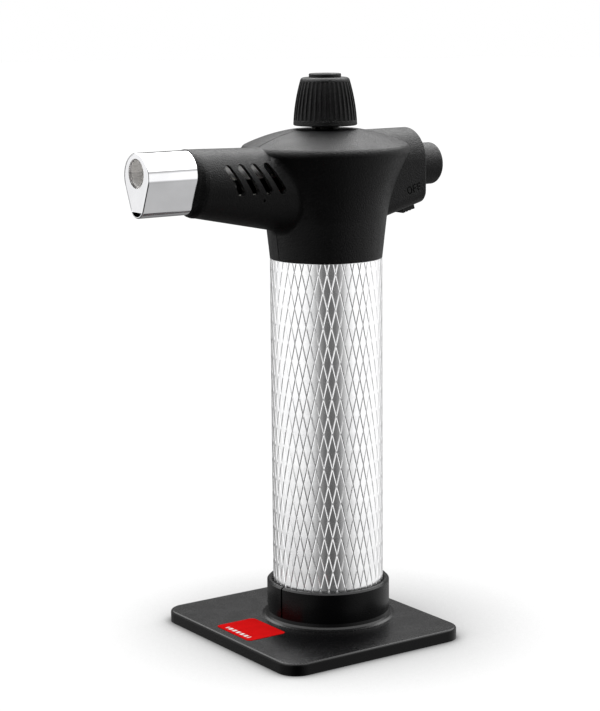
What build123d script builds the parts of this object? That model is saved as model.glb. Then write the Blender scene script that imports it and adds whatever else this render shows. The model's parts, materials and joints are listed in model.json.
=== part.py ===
"""Butane jeweller's torch with its stand, one solid per named node.

Frame, in millimetres: the origin is where the handle's axis meets the floor,
+Z is up, the flame leaves towards -X and the ignition button faces +X.
"""

import math
import os

from build123d import *

# ---- stand ----
PLATE_X, PLATE_Y = 67.5, 75.0
PLATE_CX, PLATE_CY = -8.0, -1.8
PLATE_TOP = 3.8
PLATE_CORNER = 6.5
COLLAR_R, COLLAR_BORE, COLLAR_TOP = 20.0, 18.25, 15.8

# ---- handle and tank ----
SLEEVE_R, SLEEVE_IN = 18.0, 16.8
SLEEVE_BOTTOM, SLEEVE_TOP = 4.2, 121.7
TANK_R, TANK_WALL = 16.6, 1.5
TANK_BOTTOM, TANK_TOP = 9.5, 108.0

# ---- head ----
WALL = 2.0
ROOT_FILLET = 2.0
BARREL_WALL = 1.5
SEAM = 0.15
RING_X = -49.0
CAVITY_FRONT = -47.0
REAR_X = 32.5
REAR_HALF = 10.5
REAR_BASE_Z, REAR_SLOPE = 129.1, 0.262
DOME_TOP = 162.2

# ---- burner line ----
BURNER_Z, BURNER_R, BURNER_IN = 152.1, 4.0, 3.5
CUP_R, CUP_IN, CUP_BACK = 5.0, 4.5, -55.0
GUARD_FACE, GUARD_BACK = -69.2, -47.0
GUARD_UP = (7.3, 151.0)
GUARD_LOW = (4.1, 142.7)
GUARD_SKIN = 0.5
FACE_FRONT, FACE_BACK, FACE_LOW = -69.1, -68.2, 140.5
ELECTRODE_Z = 142.0

# ---- button, lever and valve ----
BUTTON_Z, BUTTON_R, BUTTON_END = 149.2, 6.8, 42.6
BUTTON_TRAVEL = 5.0
STEM_TRAVEL = 1.0
PIVOT_X, PIVOT_Z = -13.5, 131.3
BAR_Z = 130.3
NOSE_X, NOSE_Z, NOSE_R = 11.5, 139.0, 1.0
CONTACT_GAP = 0.06

# ---- knob ----
KNOB_BASE, KNOB_TOP = 163.5, 178.5
FLUTES = 36


def lathe(points):
    """Solid of revolution about Z from a closed (r, z) outline."""
    outline = [(r, 0, z) for r, z in points]
    return revolve(make_face(Polyline(*outline, close=True)), Axis.Z)


def disc(r, z0, z1, x=0.0, y=0.0):
    return Pos(x, y, (z0 + z1) / 2) * Cylinder(r, z1 - z0)


def ring(r_out, r_in, z0, z1, x=0.0, y=0.0):
    return disc(r_out, z0, z1, x, y) - disc(r_in, z0 - 1, z1 + 1, x, y)


def rod_x(r, x0, x1, y=0.0, z=0.0):
    return Pos((x0 + x1) / 2, y, z) * Rot(0, 90, 0) * Cylinder(r, x1 - x0)


def rod_y(r, y0, y1, x, z):
    return Pos(x, (y0 + y1) / 2, z) * Rot(90, 0, 0) * Cylinder(r, y1 - y0)


def block(x0, x1, y0, y1, z0, z1):
    centre = Pos((x0 + x1) / 2, (y0 + y1) / 2, (z0 + z1) / 2)
    return centre * Box(x1 - x0, y1 - y0, z1 - z0)


def prism_y(points, y0, y1):
    """Extrusion along Y of a closed (x, z) outline."""
    outline = [(x, y0, z) for x, z in points]
    return extrude(make_face(Polyline(*outline, close=True)), y1 - y0, (0, 1, 0))


def hexagon_x(across, x0, x1, z):
    radius = across / math.sqrt(3)
    face = Plane((x0, 0, z), x_dir=(0, 1, 0), z_dir=(1, 0, 0)) * RegularPolygon(radius, 6)
    return extrude(face, x1 - x0)


def egg(x, upper, lower, grow=0.0):
    """Face at x: two arcs, each (radius, centre z), joined by their tangents."""
    ru, zu = upper[0] + grow, upper[1]
    rl, zl = lower[0] + grow, lower[1]
    lean = math.asin((ru - rl) / (zu - zl))
    c, s = math.cos(lean), math.sin(lean)
    ua = (x, ru * c, zu - ru * s)
    ub = (x, -ru * c, zu - ru * s)
    la = (x, rl * c, zl - rl * s)
    lb = (x, -rl * c, zl - rl * s)
    edges = [
        ThreePointArc(ub, (x, 0, zu + ru), ua),
        Line(ua, la),
        ThreePointArc(la, (x, 0, zl - rl), lb),
        Line(lb, ub),
    ]
    return make_face(edges)


def egg_tube(x0, x1, upper, lower, grow=0.0):
    return extrude(egg(x0, upper, lower, grow), x1 - x0, (1, 0, 0))


def rounded_run(points, radius):
    """Straight runs through points, with a tangent arc at each corner."""
    pts = [Vector(*p) for p in points]
    edges = []
    here = pts[0]
    for k in range(1, len(pts) - 1):
        u = (pts[k] - pts[k - 1]).normalized()
        v = (pts[k + 1] - pts[k]).normalized()
        turn = math.acos(max(-1.0, min(1.0, u.dot(v))))
        reach = radius * math.tan(turn / 2)
        start, stop = pts[k] - u * reach, pts[k] + v * reach
        inward = (v - u).normalized()
        centre = pts[k] + inward * (radius / math.cos(turn / 2))
        edges.append(Line(here, start))
        edges.append(ThreePointArc(start, centre - inward * radius, stop))
        here = stop
    edges.append(Line(here, pts[-1]))
    return Wire(edges)


def pipe(points, bend, r_out, r_in=0.0):
    path = rounded_run(points, bend)
    first = Vector(*points[1]) - Vector(*points[0])
    plane = Plane(points[0], z_dir=first)
    solid = sweep(plane * Circle(r_out), path)
    if r_in:
        solid -= sweep(plane * Circle(r_in), path)
    return solid


def coil(r, wire, length, turns):
    """Coil spring standing on z = 0, its wire's centre line inset at each end."""
    rise = length - 2 * wire
    helix = Helix(rise / turns, rise, r)
    start = helix @ 0
    section = Plane(start, z_dir=helix % 0) * Circle(wire)
    return Pos(0, 0, wire) * sweep(section, helix, is_frenet=True)


# ------------------------------------------------------------------ stand


def make_stand():
    plate = Pos(PLATE_CX, PLATE_CY, 0) * RectangleRounded(PLATE_X, PLATE_Y, PLATE_CORNER)
    plate = extrude(plate, PLATE_TOP)
    top_rim = plate.edges().group_by(Axis.Z)[-1]
    plate = fillet(top_rim, 0.7)
    flare = 1.7
    collar = lathe(
        [
            (COLLAR_BORE, PLATE_TOP - 1),
            (COLLAR_R + flare, PLATE_TOP - 1),
            (COLLAR_R + flare, PLATE_TOP),
            (COLLAR_R + 0.9, PLATE_TOP + 0.35),
            (COLLAR_R + 0.35, PLATE_TOP + 0.9),
            (COLLAR_R, PLATE_TOP + 1.9),
            (COLLAR_R, COLLAR_TOP - 0.5),
            (COLLAR_R - 0.5, COLLAR_TOP),
            (COLLAR_BORE + 0.4, COLLAR_TOP),
            (COLLAR_BORE, COLLAR_TOP - 0.4),
        ]
    )
    slit = Rot(0, 0, 6) * block(-COLLAR_R - 2, -COLLAR_BORE + 1, -0.35, 0.35, PLATE_TOP + 2, COLLAR_TOP + 1)
    base = plate + collar - slit
    label = Pos(-31.2, -1.2, PLATE_TOP) * RectangleRounded(14.4, 19.4, 1.6)
    label = extrude(label, 0.12)
    return {"stand_base": base, "stand_label": label}


# ------------------------------------------------------------------ handle


def make_handle():
    sleeve = lathe(
        [
            (SLEEVE_IN, SLEEVE_BOTTOM),
            (SLEEVE_R - 0.4, SLEEVE_BOTTOM),
            (SLEEVE_R, SLEEVE_BOTTOM + 0.4),
            (SLEEVE_R, SLEEVE_TOP - 0.2),
            (SLEEVE_R - 0.2, SLEEVE_TOP),
            (SLEEVE_IN, SLEEVE_TOP),
        ]
    )
    cap = lathe(
        [
            (6.0, 4.9),
            (6.0, 3.85),
            (16.0, 3.85),
            (16.6, 4.2),
            (16.8, 4.6),
            (16.8, TANK_BOTTOM),
            (3.4, TANK_BOTTOM),
            (3.4, 4.9),
        ]
    )
    tank = lathe(
        [
            (3.0, TANK_BOTTOM),
            (TANK_R, TANK_BOTTOM),
            (TANK_R, TANK_TOP),
            (TANK_R - TANK_WALL, TANK_TOP),
            (TANK_R - TANK_WALL, TANK_BOTTOM + 3),
            (TANK_R - TANK_WALL - 1.2, TANK_BOTTOM + 1.8),
            (5.4, TANK_BOTTOM + 1.8),
            (5.0, 16.4),
            (3.0, 16.4),
        ]
    )
    lid = lathe(
        [
            (3.2, 103.0),
            (15.05, 103.0),
            (15.05, 104.6),
            (13.7, 104.6),
            (13.7, 106.6),
            (15.05, 106.6),
            (15.05, TANK_TOP),
            (TANK_R, TANK_TOP),
            (TANK_R, 110.6),
            (8.0, 110.6),
            (8.0, 112.0),
            (3.2, 112.0),
        ]
    )
    seal = lathe([(13.7, 104.8), (14.9, 104.6), (15.1, 105.6), (14.9, 106.6), (13.7, 106.4)])
    fill_body = lathe(
        [
            (0.95, 5.1),
            (2.4, 5.1),
            (3.4, 5.6),
            (3.4, TANK_BOTTOM - 0.6),
            (3.4, TANK_BOTTOM),
            (3.0, TANK_BOTTOM),
            (3.0, 17.4),
            (2.4, 18.0),
            (0.8, 18.0),
            (0.8, 16.6),
            (2.2, 16.6),
            (2.2, 9.0),
            (0.95, 9.0),
        ]
    )
    fill_seal = ring(2.2, 0.95, 9.0, 9.3)
    fill_stem = disc(0.9, 5.4, 9.4) + disc(2.1, 9.35, 10.6) + disc(0.9, 10.6, 12.2)
    fill_stem -= disc(0.35, 5.0, 8.2)
    fill_spring = Pos(0, 0, 10.65) * coil(1.6, 0.22, 5.9, 4.5)
    pickup = ring(1.3, 0.7, 20.0, 103.6)
    return {
        "handle_sleeve": sleeve,
        "base_cap": cap,
        "fuel_tank": tank,
        "tank_lid": lid,
        "tank_seal": seal,
        "fill_valve_body": fill_body,
        "fill_seal": fill_seal,
        "fill_stem": fill_stem,
        "fill_spring": fill_spring,
        "pickup_tube": pickup,
    }


# ------------------------------------------------------------------ gas path


def make_gas_path():
    valve = lathe(
        [
            (1.3, 101.0),
            (2.4, 101.0),
            (3.2, 102.0),
            (3.2, 112.0),
            (5.6, 112.0),
            (5.6, 115.0),
            (4.4, 115.6),
            (4.4, 126.2),
            (3.8, 126.8),
            (1.55, 126.8),
            (1.55, 114.0),
            (2.7, 114.0),
            (2.7, 106.0),
            (1.3, 106.0),
        ]
    )
    valve += ring(1.3, 0.6, 103.6, 106.0)
    valve += rod_x(1.1, -7.0, -3.9, 0, 119.0)
    valve -= rod_x(0.5, -9.0, -1.4, 0, 119.0)
    stem = disc(1.5, 121.5, BAR_Z - 0.6) + disc(0.5, BAR_Z - 0.7, BAR_Z - CONTACT_GAP)
    stem += disc(1.0, 112.4, 121.5) + disc(2.2, 111.4, 113.2) + disc(1.0, 110.2, 111.4)
    stem_seal = ring(2.2, 1.0, 113.2, 113.95)
    spring = Pos(0, 0, 106.1) * coil(1.75, 0.25, 5.2, 4.5)
    hose = pipe([(-4.5, 0, 119), (-9.0, 0, 119), (-9.0, 0, 142), (-3.6, 0, 142)], 2.4, 1.6, 1.12)

    regulator = disc(3.5, 139.0, 144.4) + disc(5.0, 144.2, 157.4)
    regulator += rod_x(4.2, -8.0, -3.0, 0, BURNER_Z) + rod_x(1.1, -7.0, -3.0, 0, 142.0)
    regulator -= disc(0.6, 141.4, 148.0) + disc(1.55, 147.6, 158.0)
    regulator -= rod_x(0.5, -8.0, 0, 0, 142.0) + rod_x(0.8, -9.0, -1.0, 0, BURNER_Z)
    regulator -= rod_x(2.2, -9.0, -4.4, 0, BURNER_Z)
    regulator -= ring(2.5, 1.5, 154.6, 155.8)
    packing = ring(2.5, 1.55, 154.6, 155.8)
    seat_edge = 0.6 / math.tan(math.radians(30))
    tip = 147.6 - seat_edge + 0.30
    needle = lathe([(0, tip), (0.9, tip + 1.56), (0.9, 153.2), (1.5, 153.6), (1.5, 157.0), (0, 157.0)])
    needle += disc(1.0, 156.9, 161.6)

    jet = rod_x(2.2, -8.0, -4.4, 0, BURNER_Z) + hexagon_x(6.4, -11.4, -8.0, BURNER_Z)
    jet += rod_x(BURNER_IN, -14.0, -11.4, 0, BURNER_Z) + rod_x(1.8, -18.0, -14.0, 0, BURNER_Z)
    jet -= rod_x(0.6, -17.0, -4.0, 0, BURNER_Z) + rod_x(0.2, -18.5, -16.5, 0, BURNER_Z)

    tube = rod_x(BURNER_R, CUP_BACK, -11.4, 0, BURNER_Z)
    tube -= rod_x(BURNER_IN, CUP_BACK - 1, -11.0, 0, BURNER_Z)
    for k in range(4):
        tube -= Pos(-22, 0, BURNER_Z) * Rot(45 + 90 * k, 0, 0) * Pos(0, 0, 4) * Cylinder(1.4, 4)
    cup = rod_x(CUP_R, FACE_BACK, CUP_BACK + 1.5, 0, BURNER_Z)
    cup -= rod_x(CUP_IN, -69.0, CUP_BACK, 0, BURNER_Z) + rod_x(BURNER_R, -68, -50, 0, BURNER_Z)
    holder = rod_x(CUP_IN, -60.4, -57.4, 0, BURNER_Z)
    holder -= rod_x(1.0, -61.0, -57.0, 0, BURNER_Z)
    for count, radius, hole in ((8, 2.2, 0.42), (14, 3.6, 0.38)):
        for k in range(count):
            a = 2 * math.pi * k / count
            holder -= rod_x(hole, -61.0, -57.0, radius * math.cos(a), BURNER_Z + radius * math.sin(a))
    return {
        "gas_valve_body": valve,
        "valve_stem": stem,
        "valve_seal": stem_seal,
        "valve_spring": spring,
        "gas_hose": hose,
        "regulator_block": regulator,
        "needle_packing": packing,
        "flow_needle": needle,
        "gas_jet": jet,
        "burner_tube": tube,
        "burner_cup": cup,
        "flame_holder": holder,
    }


def make_guard():
    outer = egg_tube(GUARD_FACE, GUARD_BACK, GUARD_UP, GUARD_LOW)
    lip = outer.edges().group_by(Axis.X)[0]
    outer = fillet(lip, 0.4)
    guard = outer - egg_tube(GUARD_FACE - 1, GUARD_BACK + 1, GUARD_UP, GUARD_LOW, -GUARD_SKIN)
    plate = egg_tube(FACE_FRONT, FACE_BACK, GUARD_UP, GUARD_LOW, -GUARD_SKIN)
    plate -= rod_x(CUP_IN, FACE_FRONT - 1, FACE_BACK + 1, 0, BURNER_Z)
    plate -= block(FACE_FRONT - 1, FACE_BACK + 1, -9, 9, 130, FACE_LOW)
    bulkhead = egg_tube(-48.4, -47.2, GUARD_UP, GUARD_LOW, -GUARD_SKIN)
    bulkhead -= rod_x(BURNER_R, -50, -46, 0, BURNER_Z) + rod_x(1.5, -50, -46, 0, ELECTRODE_Z)
    insulator = rod_x(1.5, -61.5, -22.0, 0, ELECTRODE_Z) - rod_x(0.5, -63, -21, 0, ELECTRODE_Z)
    electrode = pipe([(-22.0, 0, ELECTRODE_Z), (-65.4, 0, ELECTRODE_Z), (-65.4, 0, 145.6)], 1.2, 0.5)
    return {
        "flame_guard": guard,
        "face_plate": plate,
        "guard_bulkhead": bulkhead,
        "electrode_insulator": insulator,
        "electrode": electrode,
    }


# ------------------------------------------------------------------ head


def head_round(t):
    """The turned part of the head, drawn in by t on every side."""
    low = 100.0 if t else SLEEVE_TOP
    foot = SLEEVE_TOP + (t or 0.01)
    r0 = SPIGOT_IN if t else SLEEVE_R
    r1, r2 = 19.4 - t, 26.4 - t
    tilt = t * 0.25
    edges = [
        Line((0, 0, low), (r0, 0, low)),
        Line((r0, 0, low), (18.0 - t, 0, foot)),
        Line((18.0 - t, 0, foot), (r1, 0, 134.3)),
        ThreePointArc((r1, 0, 134.3), (21.75 - t, 0, 144.0 - tilt), (r2, 0, 154.6 - t)),
        ThreePointArc((r2, 0, 154.6 - t), (26.75 - t, 0, 156.3 - t), (25.5 - t, 0, 157.7 - t)),
        ThreePointArc((25.5 - t, 0, 157.7 - t), (19.8, 0, 160.0 - t), (11.0, 0, DOME_TOP - t)),
        Line((11.0, 0, DOME_TOP - t), (0, 0, DOME_TOP - t)),
        Line((0, 0, DOME_TOP - t), (0, 0, low)),
    ]
    return revolve(make_face(edges), Axis.Z)


def head_barrel(t):
    t = min(t, BARREL_WALL)
    root = egg(-8.0, (12.9, 144.4), (12.5, 141.4), -t)
    end = egg(CAVITY_FRONT if t else RING_X, (9.5, 148.9), (8.3, 145.6), -t)
    shape = loft([root, end], ruled=True)
    if t:
        return shape
    stations = [
        egg(RING_X, (9.5, 148.9), (8.3, 145.6)),
        egg(RING_X - 1.2, (9.2, 149.2), (7.7, 145.1)),
        egg(RING_X - 2.3, (8.4, 150.1), (6.1, 143.9)),
        egg(RING_X - 2.9, (7.6, 150.9), (4.7, 142.9)),
    ]
    for a, b in zip(stations, stations[1:]):
        shape += loft([a, b], ruled=True)
    return shape


def rear_bottom(x, t=0.0):
    return REAR_BASE_Z + REAR_SLOPE * x + t


def head_rear(t):
    half = REAR_HALF - t
    x0, x1 = 6.0, REAR_X - t
    springing = 151.5
    edges = [
        ThreePointArc((x0, -half, springing), (x0, 0, 161.4 - t), (x0, half, springing)),
        Line((x0, half, springing), (x0, half, 120.0)),
        Line((x0, half, 120.0), (x0, -half, 120.0)),
        Line((x0, -half, 120.0), (x0, -half, springing)),
    ]
    shape = extrude(make_face(edges), x1 - x0, (1, 0, 0))
    before, beyond = x0 - 1, x1 + 1
    under = [(before, 100), (beyond, 100), (beyond, rear_bottom(beyond, t)), (before, rear_bottom(before, t))]
    shape -= prism_y(under, -20, 20)
    low = [e for e in shape.edges() if abs(e.center().Y) > half - 0.01 and e.center().Z < 140]
    low = [e for e in low if e.length > 20]
    shape = fillet(low, 4.0 - t)
    if not t:
        rim = shape.edges().group_by(Axis.X)[-1]
        shape = fillet(rim, 0.7)
    return shape


SLOT_WIDE = 2.3
SLOTS = [((-42.2, 152.6), (-38.0, 145.2))] + [
    ((-37.6 + 4.6 * k, 152.6), (-33.2 + 4.6 * k, 145.2)) for k in range(3)
]
EJECTOR_MARK = (-30.1, 142.2)
SPIGOT_IN, SPIGOT_LOW = 14.6, 112.6
LOCK_X = 29.3
# each screw: x, z and how far out in y its seat lies
SCREWS = [(-24.0, 136.4, 8.1), (12.0, 125.4, 12.6), (-12.9, 125.6, 11.4)]
SCREW_R, SCREW_BORE = 0.9, 1.2
SCREW_HEAD_R, SCREW_HEAD_BORE, SCREW_HEAD_TALL = 1.75, 1.9, 1.5
SCREW_TIP, CROSS_LONG, CROSS_WIDE = -6.0, 1.2, 0.25
BOSS_R, PIVOT_BOSS_R, PIVOT_BOSS_Y = 2.3, 2.4, 5.0
CRADLES = ((7.0, 9.0), (14.5, 16.5))
FAR = 30.0


def off_mark():
    """The letters O, F, F built from plain strokes, cut into the left side."""
    high, wide, stroke = 2.6, 1.9, 0.4
    lettering = SlotOverall(high, wide, rotation=90)
    lettering -= SlotOverall(high - 2 * stroke, wide - 2 * stroke, rotation=90)
    for x in (1.55, 3.35):
        lettering += Pos(x, 0) * Rectangle(stroke, high)
        lettering += Pos(x + 0.5, (high - stroke) / 2) * Rectangle(1.3, stroke)
        lettering += Pos(x + 0.4, 0.05) * Rectangle(1.1, stroke)
    slope = math.atan(REAR_SLOPE)
    rising = (math.cos(slope), 0, math.sin(slope))
    plane = Plane((25.5, -REAR_HALF, 142.0), x_dir=rising, z_dir=(0, -1, 0))
    return extrude(plane * lettering, -0.35)


def slot_cutter(start, stop, y0, y1):
    (xa, za), (xb, zb) = start, stop
    length = math.hypot(xb - xa, zb - za)
    angle = math.degrees(math.atan2(zb - za, xb - xa))
    plane = Plane(((xa + xb) / 2, y0, (za + zb) / 2), x_dir=(1, 0, 0), z_dir=(0, 1, 0))
    return extrude(plane * Rot(0, 0, -angle) * SlotCenterToCenter(length, SLOT_WIDE), y1 - y0)


def lock_plane():
    """Plane lying on the rear block's sloping underside, x along the slide."""
    slope = math.atan(REAR_SLOPE)
    c, s = math.cos(slope), math.sin(slope)
    return Plane((LOCK_X, 0, rear_bottom(LOCK_X)), x_dir=(c, 0, s), z_dir=(-s, 0, c))


def make_housing():
    outer = head_round(0) + head_barrel(0)
    barrel_root = [e for e in outer.edges() if e.geom_type == GeomType.BSPLINE]
    barrel_root = [e for e in barrel_root if e.center().X < -15 and e.center().Z < 155]
    outer = fillet(barrel_root, ROOT_FILLET) + head_rear(0)
    inner = head_round(WALL) + head_barrel(WALL) + head_rear(WALL)
    spigot = ring(SLEEVE_IN - 0.05, SPIGOT_IN, SPIGOT_LOW, SLEEVE_TOP + WALL)
    shell = outer + spigot - inner
    for x, z, _ in SCREWS:
        shell += rod_y(BOSS_R, -FAR, FAR, x, z) & outer
    for y0, y1 in ((-FAR, -PIVOT_BOSS_Y), (PIVOT_BOSS_Y, FAR)):
        shell += rod_y(PIVOT_BOSS_R, y0, y1, PIVOT_X, PIVOT_Z) & outer
    for x0, x1 in CRADLES:
        cradle = block(x0, x1, -20, 20, 143.6, 148.0) & outer
        shell += cradle - block(x0 - 1, x1 + 1, -3.6, 3.6, 140, 150)
    shell -= rod_x(4.0, 4, 24, 0, BUTTON_Z)
    shell -= rod_y(1.0, -7.5, 7.5, PIVOT_X, PIVOT_Z)
    shell -= egg_tube(-54, GUARD_BACK, GUARD_UP, GUARD_LOW, 0.05)
    shell -= rod_x(BUTTON_R + 0.3, 28, 34, 0, BUTTON_Z)
    shell -= disc(2.6, 158, 164)
    for start, stop in SLOTS:
        shell -= slot_cutter(start, stop, -16, -6.2)
        shell -= slot_cutter(start, stop, 6.2, 16)
    plane = lock_plane()
    shell -= plane * Pos(-1.75, 0, 0.3) * Box(8.8, 9.4, 5.0)
    shell -= plane * Pos(-2.6, 0, 2.35) * Box(12.6, 12.0, 1.5)
    shell -= off_mark()
    shell -= rod_y(0.55, -13, -9.6, *EJECTOR_MARK)
    left = shell & block(-80, 60, -60, -SEAM, 90, 170)
    right = shell & block(-80, 60, SEAM, 60, 90, 170)
    screws = []
    for x, z, y_seat in SCREWS:
        y_head = y_seat - 2.4
        y_top = y_head + SCREW_HEAD_TALL
        right -= rod_y(SCREW_BORE, 0, FAR, x, z) + rod_y(SCREW_HEAD_BORE, y_head, FAR, x, z)
        left -= rod_y(SCREW_R, SCREW_TIP - 0.5, 0, x, z)
        screw = rod_y(SCREW_R, SCREW_TIP, y_head, x, z) + rod_y(SCREW_HEAD_R, y_head, y_top, x, z)
        for half_x, half_z in ((CROSS_WIDE, CROSS_LONG), (CROSS_LONG, CROSS_WIDE)):
            screw -= block(x - half_x, x + half_x, y_top - 0.6, y_top + 1, z - half_z, z + half_z)
        screws.append(screw)
    return {"housing_left": left, "housing_right": right, "housing_screws": Compound(screws)}


# ------------------------------------------------------------------ ignition


def lever_geometry():
    """Lever turn in radians at full press, and the ramp slope that gives it."""
    turn = STEM_TRAVEL / (0 - PIVOT_X)
    dx, dz = NOSE_X - PIVOT_X, NOSE_Z - PIVOT_Z
    c, s = math.cos(turn), math.sin(turn)
    moved_x = dx * c + dz * s - dx
    moved_z = -dx * s + dz * c - dz
    return turn, -moved_z / (BUTTON_TRAVEL + moved_x)


def make_button():
    shape = rod_x(BUTTON_R, 24.0, BUTTON_END, 0, BUTTON_Z)
    shape = fillet(shape.edges().group_by(Axis.X)[-1], 1.2)
    shape += rod_x(7.8, 28.8, 30.3, 0, BUTTON_Z)
    shape -= rod_x(4.6, 23.0, 37.6, 0, BUTTON_Z)
    _, slope = lever_geometry()
    rest_gap = NOSE_R / math.cos(math.atan(slope)) + CONTACT_GAP
    ramp_at = NOSE_Z + rest_gap
    tip = NOSE_X - 2.2
    foot = 139.2
    foot_x = NOSE_X + (ramp_at - foot) / slope
    arm = prism_y(
        [
            (tip, ramp_at + slope * (NOSE_X - tip)),
            (foot_x, foot),
            (25.6, foot),
            (26.4, 140.6),
            (30.3, 140.6),
            (30.3, 143.4),
            (tip, 143.4),
        ],
        -2.0,
        2.0,
    )
    arm -= rod_x(4.6, 5.0, 37.6, 0, BUTTON_Z)
    plunger = rod_x(2.9, 18.8, 37.6, 0, BUTTON_Z)
    plunger += rod_x(4.4, 36.4, 37.6, 0, BUTTON_Z)
    spring = Pos(22.05, 0, BUTTON_Z) * Rot(0, 90, 0) * coil(3.7, 0.3, 14.3, 7)
    return {"igniter_button": shape + arm, "piezo_plunger": plunger, "button_spring": spring}


def make_ignition():
    body = rod_x(4.0, 6.0, 22.0, 0, BUTTON_Z) - rod_x(2.95, 13.4, 23.0, 0, BUTTON_Z)
    body += block(9.6, 12.4, 2.4, 6.6, 147.8, 150.6)
    route = [
        (9.6, 5.8, BUTTON_Z),
        (7.4, 5.8, BUTTON_Z),
        (2.0, 7.4, BUTTON_Z),
        (-12.0, 7.4, 142.6),
        (-17.0, 4.0, ELECTRODE_Z),
        (-19.4, 0, ELECTRODE_Z),
        (-22.0, 0, ELECTRODE_Z),
    ]
    wire = pipe(route, 1.4, 0.8)
    pin = rod_y(1.0, -7.5, 7.5, PIVOT_X, PIVOT_Z)
    bar_end = 12.7
    bar = block(-4.5, bar_end, -4.6, 4.6, BAR_Z, BAR_Z + 2)
    for y0, y1 in ((-4.6, -2.6), (2.6, 4.6)):
        bar += block(PIVOT_X, bar_end, y0, y1, BAR_Z, BAR_Z + 2)
    for y in (-3.6, 3.6):
        bar += rod_y(2.0, y - 1, y + 1, PIVOT_X, PIVOT_Z)
    bar += block(NOSE_X - NOSE_R, NOSE_X + NOSE_R, -2, 2, BAR_Z + 1, NOSE_Z)
    bar += rod_y(NOSE_R, -2, 2, NOSE_X, NOSE_Z)
    bar += prism_y([(4.0, BAR_Z + 1.9), (NOSE_X, 136.6), (NOSE_X, BAR_Z + 1.9)], -0.8, 0.8)
    bar -= rod_y(1.05, -8, 8, PIVOT_X, PIVOT_Z)
    plane = lock_plane()
    slider = plane * Pos(0, 0, -0.225) * Box(4.9, 9.0, 3.95)
    slider += plane * Pos(-1.2, 0, 2.05) * Box(7.6, 11.2, 0.7)
    for u in (-1.3, 0.0, 1.3):
        slider -= plane * Pos(u, 0, -2.2) * Box(0.45, 10, 0.5)
    return {
        "piezo_body": body,
        "ignition_wire": wire,
        "lever_pin": pin,
        "gas_lever": bar,
        "lock_slider": slider,
    }


# ------------------------------------------------------------------ knob


def make_knob():
    skirt = [
        Line((0, 0, KNOB_BASE), (9.7, 0, KNOB_BASE)),
        ThreePointArc((9.7, 0, KNOB_BASE), (10.0, 0, KNOB_BASE + 0.12), (10.1, 0, KNOB_BASE + 0.45)),
        ThreePointArc((10.1, 0, KNOB_BASE + 0.45), (9.35, 0, 171.0), (7.9, 0, 177.3)),
        ThreePointArc((7.9, 0, 177.3), (7.5, 0, 178.15), (6.7, 0, KNOB_TOP)),
        Line((6.7, 0, KNOB_TOP), (0, 0, KNOB_TOP)),
        Line((0, 0, KNOB_TOP), (0, 0, KNOB_BASE)),
    ]
    knob = revolve(make_face(skirt), Axis.Z)
    lean = math.degrees(math.atan((9.95 - 8.0) / (177.0 - 165.2)))
    flute = Pos(9.95 + 0.28, 0, 165.2) * Rot(0, -lean, 0) * Pos(0, 0, 6.1) * Cylinder(0.55, 12.2)
    for k in range(FLUTES):
        knob -= Rot(0, 0, 360 * k / FLUTES) * flute
    knob -= disc(5.1, 177.6, 180) + disc(2.4, 163, 175.0)
    knob -= ring(8.2, 4.4, 163, 164.6)
    hub = ring(4.25, 2.4, 162.3, 163.52)
    for k in range(6):
        hub -= Rot(0, 0, 60 * k + 20) * block(2.0, 5.0, -0.8, 0.8, 162.0, 163.0)
    knob += hub
    cap = disc(5.1, 177.6, 179.7)
    cap = fillet(cap.edges().group_by(Axis.Z)[-1], 0.35)
    spindle = disc(2.4, 157.9, 175.0) - disc(1.05, 157.0, 163.0)
    spindle -= block(1.9, 3, -3, 3, 166, 174)
    return {"knob": knob, "knob_cap": cap, "knob_spindle": spindle}


MAKERS = [
    make_stand,
    make_handle,
    make_gas_path,
    make_guard,
    make_housing,
    make_button,
    make_ignition,
    make_knob,
]


def main():
    os.makedirs("parts", exist_ok=True)
    nodes = {}
    for make in MAKERS:
        nodes.update(make())
    for name, shape in nodes.items():
        export_step(shape, f"parts/{name}.step")
        print(name, len(shape.solids()), round(shape.volume, 1))


main()
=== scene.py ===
"""Butane torch in its stand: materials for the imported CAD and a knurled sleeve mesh."""

import json
import math

import bmesh
import bpy
from mathutils import Matrix, Vector


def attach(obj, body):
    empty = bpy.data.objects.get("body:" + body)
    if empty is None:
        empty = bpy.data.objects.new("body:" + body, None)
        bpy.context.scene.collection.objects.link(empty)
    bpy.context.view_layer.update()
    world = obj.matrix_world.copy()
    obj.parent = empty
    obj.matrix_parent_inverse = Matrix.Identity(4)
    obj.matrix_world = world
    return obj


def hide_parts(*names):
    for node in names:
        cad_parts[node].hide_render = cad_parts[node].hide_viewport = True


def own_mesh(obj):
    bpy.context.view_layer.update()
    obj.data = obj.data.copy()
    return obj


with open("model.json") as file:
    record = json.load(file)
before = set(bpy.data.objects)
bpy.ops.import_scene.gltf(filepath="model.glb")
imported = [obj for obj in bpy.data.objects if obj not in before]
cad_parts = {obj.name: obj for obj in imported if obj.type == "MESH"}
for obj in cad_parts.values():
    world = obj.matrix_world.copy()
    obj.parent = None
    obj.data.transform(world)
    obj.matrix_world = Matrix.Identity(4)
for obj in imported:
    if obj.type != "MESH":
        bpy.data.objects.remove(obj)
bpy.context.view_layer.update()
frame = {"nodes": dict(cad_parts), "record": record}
nodes = frame["nodes"]

MM = 0.001

# ---- camera ----
CAMERA_AT = Vector((-0.3764, -0.5344, 0.2079))
HEADING = Vector((0.565, 0.825, 0.0)).normalized()
PITCH = math.radians(10.26)
ROLL = math.radians(0.49)
LENS = 104.4

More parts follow.
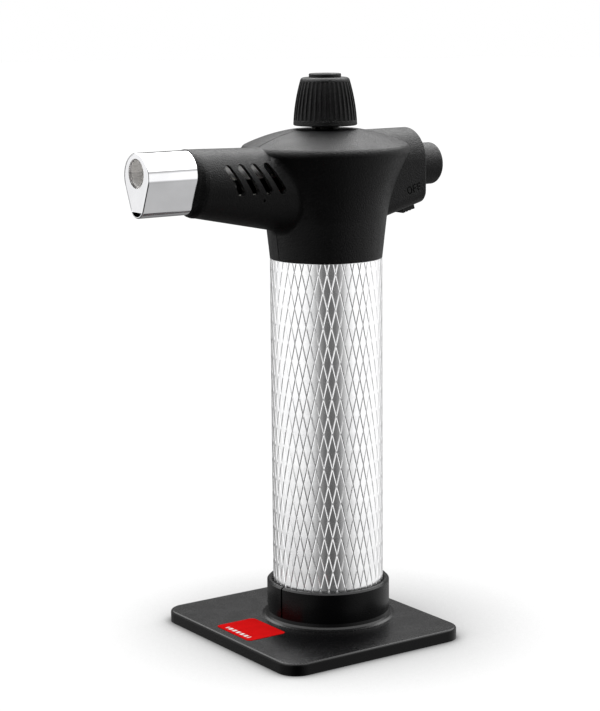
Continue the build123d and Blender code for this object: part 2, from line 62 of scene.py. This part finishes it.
# ---- studio light levels against direction cosines ----
CAMERA_SIDE = math.radians(6)
PANELS = [
    (-1.0, 0.06),
    (-0.6, 1.0),
    (-0.2, 1.25),
    (0.6, 1.25),
    (0.8, 0.95),
    (0.9, 0.4),
    (0.96, 0.15),
    (1.0, 0.12),
]
GROUND_ACROSS = [(-1.0, 0.15), (-0.3, 0.08), (0.2, 0.25), (0.6, 0.55), (1.0, 0.6)]
GROUND_FRONT = [(-1.0, 1.0), (0.4, 1.0), (0.75, 0.1), (1.0, 0.05)]
BAND = [(-0.34, 0.0), (-0.24, 1.0), (0.22, 1.0), (0.36, 0.3), (0.56, 0.0)]
BELOW = [(-1.0, 1.0), (-0.34, 1.0), (-0.24, 0.0)]
ABOVE = [(0.36, 0.0), (0.56, 1.0), (1.0, 1.0)]
ABOVE_FRONT = [(-1.0, 1.0), (0.3, 1.0), (0.7, 0.15), (1.0, 0.05)]
TOP_LEVEL = 6.0
FLOOR_DIFFUSE, FLOOR_GLOW = 0.06, 0.80
# The floor's glow darkens under the stand as a painted contact shadow: how far the painted shadow
# reaches, and how steeply.
FLOOR_REACH = 0.06
FLOOR_CONTACT = 3.0
FLOOR_HALF = 60.0
WALL_R, WALL_TALL = 5.0, 6.0

# ---- stand label: outer edge strip in x, its run in y, and the bars' pitch and share ----
LABEL_ROW = (-37.0 * MM, -35.4 * MM)
LABEL_RUN = (-8.0 * MM, 5.0 * MM)
BAR_PITCH = 2.2 * MM
BAR_SHARE = 0.62

# ---- knurled sleeve ----
SLEEVE_R = 18.0 * MM
SLEEVE_IN = 16.8 * MM
SLEEVE_LOW, SLEEVE_HIGH = 4.2 * MM, 121.7 * MM
KNURL_LOW, KNURL_HIGH = 4.9 * MM, 121.4 * MM
DIAMONDS = 42
DIAMOND_TALL = 11.3 * MM
GROOVE_DEEP = 0.14 * MM
GROOVE_SHARE = 0.09
FLATNESS = 0.5
CROWN = 0.03 * MM
KNURL_STATIONS = [0.0, GROOVE_SHARE, 0.2, 0.35, 0.5, 0.65, 0.8, 1.0 - GROOVE_SHARE, 1.0]
# plain band at both ends, a little under the knurl, with a chamfer at each rim
BAND_R = SLEEVE_R - 0.12 * MM
BAND_STEP = 0.1 * MM
FOOT_CHAMFER, TOP_CHAMFER = 0.3 * MM, 0.2 * MM
LATHE_STEPS = 168
SLEEVE_SMOOTH = math.radians(20)

# ---- springs: name, joint that presses it, its axis and the index of its seated end ----
SPRINGS = [
    ("button_spring", "button_press", 0, 0),
    ("valve_spring", "valve_press", 2, 0),
    ("fill_spring", "fill_press", 2, 1),
]


def make_camera():
    data = bpy.data.cameras.new("camera")
    data.lens = LENS
    data.sensor_width = 36.0
    data.clip_start, data.clip_end = 0.01, 100.0
    camera = bpy.data.objects.new("camera", data)
    bpy.context.scene.collection.objects.link(camera)
    forward = HEADING * math.cos(PITCH) - Vector((0, 0, math.sin(PITCH)))
    right = forward.cross(Vector((0, 0, 1))).normalized()
    up = right.cross(forward)
    leaned_right = right * math.cos(ROLL) - up * math.sin(ROLL)
    leaned_up = right * math.sin(ROLL) + up * math.cos(ROLL)
    turn = Matrix((leaned_right, leaned_up, -forward)).transposed()
    camera.matrix_world = Matrix.Translation(CAMERA_AT) @ turn.to_4x4()
    bpy.context.scene.camera = camera


# ------------------------------------------------------------------ materials


class Nodes:
    """A few short calls for building a node tree."""

    def __init__(self, name):
        self.material = bpy.data.materials.new(name)
        self.material.use_nodes = True
        self.tree = self.material.node_tree
        self.shader = self.tree.nodes["Principled BSDF"]
        self.object = self.add("ShaderNodeTexCoord").outputs["Object"]

    def add(self, kind, **settings):
        node = self.tree.nodes.new(kind)
        for key, value in settings.items():
            setattr(node, key, value)
        return node

    def link(self, source, target):
        self.tree.links.new(source, target)

    def noise(self, scale, detail=3.0, stretch=(1, 1, 1)):
        mapping = self.add("ShaderNodeMapping")
        mapping.inputs["Scale"].default_value = stretch
        self.link(self.object, mapping.inputs["Vector"])
        noise = self.add("ShaderNodeTexNoise")
        noise.inputs["Scale"].default_value = scale
        noise.inputs["Detail"].default_value = detail
        noise.inputs["Roughness"].default_value = 0.5
        self.link(mapping.outputs["Vector"], noise.inputs["Vector"])
        return noise.outputs["Fac"]

    def math(self, operation, a, b):
        node = self.add("ShaderNodeMath", operation=operation)
        for socket, value in zip(node.inputs, (a, b)):
            if hasattr(value, "is_output"):
                self.link(value, socket)
            else:
                socket.default_value = value
        return node.outputs["Value"]

    def inside(self, value, low, high):
        """1 between low and high, 0 elsewhere."""
        above = self.math("GREATER_THAN", value, low)
        return self.math("MULTIPLY", above, self.math("LESS_THAN", value, high))

    def ramp(self, fac, stops):
        ramp = self.add("ShaderNodeValToRGB")
        while len(ramp.color_ramp.elements) < len(stops):
            ramp.color_ramp.elements.new(0.5)
        for element, (place, value) in zip(ramp.color_ramp.elements, stops):
            element.position = place
            colour = value if isinstance(value, tuple) else (value, value, value)
            element.color = (*colour, 1.0)
        self.link(fac, ramp.inputs["Fac"])
        return ramp.outputs["Color"]

    def rounded(self, radius):
        """Normal softened across sharp edges, as a mould's small edge radius."""
        bevel = self.add("ShaderNodeBevel", samples=4)
        bevel.inputs["Radius"].default_value = radius
        return bevel.outputs["Normal"]

    def bump(self, height, distance, below=None):
        bump = self.add("ShaderNodeBump")
        bump.inputs["Distance"].default_value = distance
        bump.inputs["Strength"].default_value = 1.0
        self.link(height, bump.inputs["Height"])
        if below is not None:
            self.link(below, bump.inputs["Normal"])
        return bump.outputs["Normal"]

    def set(self, **values):
        for key, value in values.items():
            name = key.replace("_", " ")
            socket = self.shader.inputs[name]
            if hasattr(value, "is_output"):
                self.link(value, socket)
            else:
                socket.default_value = (*value, 1.0) if isinstance(value, tuple) else value


def plastic(name, base, roughness, grain, specular=0.5, grain_size=2600.0, spread=0.09, edge=0.0):
    """Moulded plastic: fine spark-eroded grain, faint mottling of colour and gloss."""
    n = Nodes(name)
    cloud = n.noise(60.0, 4.0)
    fine = n.noise(grain_size, 2.0)
    dark = tuple(c * 0.8 for c in base)
    light = tuple(c * 1.25 for c in base)
    n.set(Base_Color=n.ramp(cloud, [(0.3, dark), (0.7, light)]))
    grain_part = n.math("MULTIPLY", fine, 0.6)
    patch_part = n.math("MULTIPLY", n.noise(180.0, 5.0), 0.4)
    gloss = n.math("ADD", grain_part, patch_part)
    n.set(Roughness=n.ramp(gloss, [(0.36, roughness - spread), (0.64, roughness + spread)]))
    n.shader.inputs["Specular IOR Level"].default_value = specular
    n.set(Normal=n.bump(fine, grain, below=n.rounded(edge) if edge else None))
    return n.material


def metal(name, base, roughness, spread=0.06, scratch=0.000004, stretch=(1, 1, 1)):
    """Bare metal with drawn or turned marks along one direction."""
    scale = 900.0
    n = Nodes(name)
    n.set(Metallic=1.0)
    dull = tuple(c * 0.9 for c in base)
    n.set(Base_Color=n.ramp(n.noise(90.0, 5.0), [(0.3, dull), (0.65, base)]))
    marks = n.noise(scale, 3.0, stretch)
    worn = n.noise(scale * 0.4, 4.0, stretch)
    n.set(Roughness=n.ramp(worn, [(0.3, roughness), (0.8, roughness + spread)]))
    n.set(Normal=n.bump(marks, scratch))
    return n.material


def label_material():
    """Red vinyl with a row of plain white bars along its outer edge."""
    n = Nodes("label_red")
    split = n.add("ShaderNodeSeparateXYZ")
    n.link(n.object, split.inputs["Vector"])
    along = split.outputs["Y"]
    row = n.math("MULTIPLY", n.inside(split.outputs["X"], *LABEL_ROW), n.inside(along, *LABEL_RUN))
    beat = n.math("FRACT", n.math("DIVIDE", along, BAR_PITCH), 0.0)
    bars = n.math("LESS_THAN", beat, BAR_SHARE)
    reds = [(0.3, (0.175, 0.0022, 0.0023)), (0.7, (0.20, 0.0026, 0.0028))]
    red = n.ramp(n.noise(300.0, 4.0), reds)
    mix = n.add("ShaderNodeMix", data_type="RGBA")
    n.link(n.math("MULTIPLY", row, bars), mix.inputs["Factor"])
    n.link(red, mix.inputs["A"])
    mix.inputs["B"].default_value = (0.23, 0.23, 0.225, 1.0)
    n.set(Base_Color=mix.outputs["Result"])
    n.set(Roughness=n.ramp(n.noise(500.0, 3.0), [(0.3, 0.48), (0.8, 0.60)]))
    n.shader.inputs["Specular IOR Level"].default_value = 0.0
    n.set(Normal=n.bump(n.noise(1200.0, 2.0), 0.000004))
    return n.material


BLACK = (0.0007, 0.0007, 0.0008)
MATERIALS = {
    "stand_black": lambda: plastic("stand_black", BLACK, 0.26, 0.00002, 0.13, spread=0.03),
    "body_black": lambda: plastic("body_black", BLACK, 0.38, 0.0002, 0.17, edge=0.0002),
    "label_red": label_material,
    "tank_nylon": lambda: plastic("tank_nylon", (0.62, 0.60, 0.53), 0.45, 0.00001),
    "seal_rubber": lambda: plastic("seal_rubber", (0.02, 0.02, 0.02), 0.6, 0.00001),
    "hose_rubber": lambda: plastic("hose_rubber", (0.02, 0.02, 0.021), 0.55, 0.00001),
    "wick_white": lambda: plastic("wick_white", (0.72, 0.72, 0.68), 0.6, 0.00002),
    "piezo_plastic": lambda: plastic("piezo_plastic", (0.04, 0.04, 0.05), 0.45, 0.00001),
    "lever_plastic": lambda: plastic("lever_plastic", (0.62, 0.60, 0.55), 0.45, 0.00001),
    "wire_red": lambda: plastic("wire_red", (0.45, 0.02, 0.02), 0.4, 0.00001),
    "ceramic_white": lambda: plastic("ceramic_white", (0.80, 0.79, 0.75), 0.2, 0.00001),
    "flame_holder": lambda: plastic("flame_holder", (0.78, 0.77, 0.75), 0.8, 0.00006, 0.3, 1500.0),
    "brass": lambda: metal("brass", (0.80, 0.56, 0.24), 0.24),
    "spring_steel": lambda: metal("spring_steel", (0.56, 0.56, 0.57), 0.25),
    "burner_steel": lambda: metal("burner_steel", (0.88, 0.87, 0.86), 0.50, stretch=(0.1, 1, 1)),
    "screw_steel": lambda: metal("screw_steel", (0.50, 0.50, 0.51), 0.3),
    "guard_chrome": lambda: metal(
        "guard_chrome", (0.86, 0.86, 0.875), 0.07, 0.05, 0.000001, (0.15, 1, 1)
    ),
}


def dress_frame():
    made = {name: make() for name, make in MATERIALS.items()}
    for part in frame["record"]["subparts"]:
        node = nodes[part["node"]]
        if part["material_slot"] not in made:
            continue
        node.data.materials.clear()
        node.data.materials.append(made[part["material_slot"]])
    return made


# ------------------------------------------------------------------ knurled sleeve


def groove_shape(t):
    """Depth share across one diamond cell, 1 at the groove and 0 on the land."""
    return max(0.0, 1.0 - t / GROOVE_SHARE)


def knurl_surface():
    """Diamonds laid out along the two helix directions, then trimmed square."""
    bm = bmesh.new()
    rows_low = math.floor(KNURL_LOW / DIAMOND_TALL) - 1
    rows_high = math.ceil(KNURL_HIGH / DIAMOND_TALL) + 1
    points = {}

    def corner(a, b):
        """Vertex at helix coordinates a and b; the turn closes on itself."""
        u, v = (a + b) / 2, (b - a) / 2
        key = (round((u % DIAMONDS) * 1000) % (DIAMONDS * 1000), round(v * 1000))
        if key in points:
            return points[key]
        near_a = min(a % 1.0, 1.0 - a % 1.0)
        near_b = min(b % 1.0, 1.0 - b % 1.0)
        deep = max(groove_shape(near_a), groove_shape(near_b))
        crown = CROWN * (1 - 4 * (a % 1.0 - 0.5) ** 2) * (1 - 4 * (b % 1.0 - 0.5) ** 2)
        sag = 0.0
        if near_a > 0.0 and near_b > 0.0:
            swing = ((a % 1.0 + b % 1.0) / 2 - 0.5) * 2 * math.pi / DIAMONDS
            sag = FLATNESS * SLEEVE_R * (1 - math.cos(math.pi / DIAMONDS) / math.cos(swing))
        radius = SLEEVE_R - CROWN - GROOVE_DEEP * deep + crown - sag
        angle = 2 * math.pi * u / DIAMONDS
        spot = (radius * math.cos(angle), radius * math.sin(angle), v * DIAMOND_TALL)
        points[key] = bm.verts.new(spot)
        return points[key]

    steps = list(zip(KNURL_STATIONS, KNURL_STATIONS[1:]))
    for half_row in range(2 * rows_low, 2 * rows_high):
        for k in range(DIAMONDS):
            a0 = k - (half_row // 2) - (half_row % 2)
            b0 = k + (half_row // 2)
            for a1, a2 in steps:
                for b1, b2 in steps:
                    ring = ((a1, b1), (a2, b1), (a2, b2), (a1, b2))
                    bm.faces.new([corner(a0 + a, b0 + b) for a, b in ring])
    for height, normal in ((KNURL_LOW, -1), (KNURL_HIGH, 1)):
        everything = bm.verts[:] + bm.edges[:] + bm.faces[:]
        cut = {"plane_co": (0, 0, height), "plane_no": (0, 0, normal), "clear_outer": True}
        bmesh.ops.bisect_plane(bm, geom=everything, **cut)
    return bm


def lathe_into(bm, profile):
    """Adds a closed profile of (radius, z) turned about Z."""
    rings = []
    for k in range(LATHE_STEPS):
        angle = 2 * math.pi * k / LATHE_STEPS
        c, s = math.cos(angle), math.sin(angle)
        rings.append([bm.verts.new((r * c, r * s, z)) for r, z in profile])
    for k in range(LATHE_STEPS):
        here, ahead = rings[k], rings[(k + 1) % LATHE_STEPS]
        for i in range(len(profile)):
            j = (i + 1) % len(profile)
            bm.faces.new((here[i], ahead[i], ahead[j], here[j]))


def make_sleeve():
    bm = knurl_surface()
    profile = [
        (SLEEVE_IN, SLEEVE_LOW),
        (BAND_R - FOOT_CHAMFER, SLEEVE_LOW),
        (BAND_R, SLEEVE_LOW + FOOT_CHAMFER),
        (BAND_R, KNURL_LOW),
        (BAND_R - BAND_STEP, KNURL_LOW),
        (BAND_R - BAND_STEP, KNURL_HIGH),
        (BAND_R, KNURL_HIGH),
        (BAND_R, SLEEVE_HIGH - TOP_CHAMFER),
        (BAND_R - TOP_CHAMFER, SLEEVE_HIGH),
        (SLEEVE_IN, SLEEVE_HIGH),
    ]
    lathe_into(bm, profile)
    mesh = bpy.data.meshes.new("knurled_sleeve")
    bmesh.ops.recalc_face_normals(bm, faces=bm.faces[:])
    bm.to_mesh(mesh)
    bm.free()
    mesh.polygons.foreach_set("use_smooth", [True] * len(mesh.polygons))
    mesh.set_sharp_from_angle(angle=SLEEVE_SMOOTH)
    sleeve = bpy.data.objects.new("knurled_sleeve", mesh)
    bpy.context.scene.collection.objects.link(sleeve)
    n = Nodes("sleeve_aluminium")
    n.set(Metallic=1.0)
    tones = [(0.3, (0.88, 0.88, 0.89)), (0.7, (0.94, 0.94, 0.945))]
    n.set(Base_Color=n.ramp(n.noise(70.0, 5.0), tones))
    n.set(Roughness=n.ramp(n.noise(700.0, 4.0), [(0.3, 0.20), (0.8, 0.30)]))
    n.set(Normal=n.bump(n.noise(2200.0, 3.0), 0.000003))
    mesh.materials.append(n.material)
    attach(sleeve, "torch")
    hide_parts("handle_sleeve")


# ------------------------------------------------------------------ springs


def make_springs(made):
    """Each spring gets its own copy of the CAD mesh in spring steel, attached to the torch, with
    the CAD spring hidden.
    """
    for name, joint, axis, seated in SPRINGS:
        spring = bpy.data.objects.new(name + "_coil", nodes[name].data.copy())
        bpy.context.scene.collection.objects.link(spring)
        spring.data.materials.clear()
        spring.data.materials.append(made["spring_steel"])
        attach(spring, "torch")
        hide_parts(name)
        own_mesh(spring)


# ------------------------------------------------------------------ studio


def world_light():
    """Studio surroundings by direction: side panels, a top softbox, a dim camera side."""
    world = bpy.data.worlds.new("studio")
    world.use_nodes = True
    tree = world.node_tree
    back = tree.nodes["Background"]

    def add(kind, **settings):
        node = tree.nodes.new(kind)
        for key, value in settings.items():
            setattr(node, key, value)
        return node

    heading = add("ShaderNodeTexCoord").outputs["Generated"]

    def along(axis):
        dot = add("ShaderNodeVectorMath", operation="DOT_PRODUCT")
        tree.links.new(heading, dot.inputs[0])
        dot.inputs[1].default_value = axis
        return dot.outputs["Value"]

    def curve(value, stops):
        """Piecewise smooth level against a direction cosine from -1 to 1."""
        span = add("ShaderNodeMapRange")
        span.inputs["From Min"].default_value = -1.0
        span.inputs["From Max"].default_value = 1.0
        tree.links.new(value, span.inputs["Value"])
        ramp = add("ShaderNodeValToRGB")
        while len(ramp.color_ramp.elements) < len(stops):
            ramp.color_ramp.elements.new(0.5)
        for element, (place, level) in zip(ramp.color_ramp.elements, stops):
            element.position = (place + 1) / 2
            element.color = (level, level, level, 1.0)
        tree.links.new(span.outputs["Result"], ramp.inputs["Fac"])
        return ramp.outputs["Color"]

    def math_node(operation, a, b):
        node = add("ShaderNodeMath", operation=operation)
        tree.links.new(a, node.inputs[0])
        tree.links.new(b, node.inputs[1])
        return node.outputs["Value"]

    across = HEADING.cross(Vector((0, 0, 1)))
    to_camera = along(across * math.sin(CAMERA_SIDE) - HEADING * math.cos(CAMERA_SIDE))
    to_right = along(across)
    upward = along(Vector((0, 0, 1)))
    panels = curve(to_camera, PANELS)
    ground = math_node("MULTIPLY", curve(to_right, GROUND_ACROSS), curve(to_camera, GROUND_FRONT))
    level = math_node("MULTIPLY", panels, curve(upward, BAND))
    level = math_node("ADD", level, math_node("MULTIPLY", ground, curve(upward, BELOW)))
    top = math_node("MULTIPLY", curve(upward, ABOVE), curve(to_camera, ABOVE_FRONT))
    lift = add("ShaderNodeMath", operation="MULTIPLY")
    tree.links.new(top, lift.inputs[0])
    lift.inputs[1].default_value = TOP_LEVEL
    level = math_node("ADD", level, lift.outputs["Value"])
    tree.links.new(level, back.inputs["Strength"])
    back.inputs["Color"].default_value = (1.0, 1.0, 1.0, 1.0)
    bpy.context.scene.world = world


def camera_only(piece):
    """Stage seen by the camera but left out of the object's reflections."""
    for kind in ("diffuse", "glossy", "transmission", "shadow", "volume_scatter"):
        setattr(piece, f"visible_{kind}", False)


def studio():
    world_light()
    mesh = bpy.data.meshes.new("floor")
    corners = [(x * FLOOR_HALF, y * FLOOR_HALF, 0) for x, y in ((-1, -1), (1, -1), (1, 1), (-1, 1))]
    mesh.from_pydata(corners, [], [(0, 1, 2, 3)])
    floor = bpy.data.objects.new("floor", mesh)
    bpy.context.scene.collection.objects.link(floor)
    n = Nodes("floor")
    n.set(Base_Color=(FLOOR_DIFFUSE,) * 3, Roughness=0.9)
    n.shader.inputs["Specular IOR Level"].default_value = 0.0
    # painted contact shadow: ambient occlusion near the stand dims the floor's glow
    contact = n.add("ShaderNodeAmbientOcclusion", samples=16)
    contact.inputs["Distance"].default_value = FLOOR_REACH
    n.set(Emission_Color=(1.0, 1.0, 1.0))
    glow_with_painted_shadow = n.math("MULTIPLY", n.math("POWER", contact.outputs["AO"], FLOOR_CONTACT), FLOOR_GLOW)
    n.set(Emission_Strength=glow_with_painted_shadow)
    mesh.materials.append(n.material)
    camera_only(floor)
    bm = bmesh.new()
    bmesh.ops.create_cone(bm, segments=64, radius1=WALL_R, radius2=WALL_R, depth=WALL_TALL)
    wall = bpy.data.objects.new("backdrop", bpy.data.meshes.new("backdrop"))
    bm.to_mesh(wall.data)
    bm.free()
    bpy.context.scene.collection.objects.link(wall)
    m = Nodes("backdrop")
    m.set(Base_Color=(0.0, 0.0, 0.0), Emission_Color=(1.0, 1.0, 1.0), Emission_Strength=1.0)
    m.shader.inputs["Specular IOR Level"].default_value = 0.0
    wall.data.materials.append(m.material)
    camera_only(wall)
    bpy.context.scene.view_settings.view_transform = "Standard"


make_camera()
made = dress_frame()
make_sleeve()
make_springs(made)
studio()
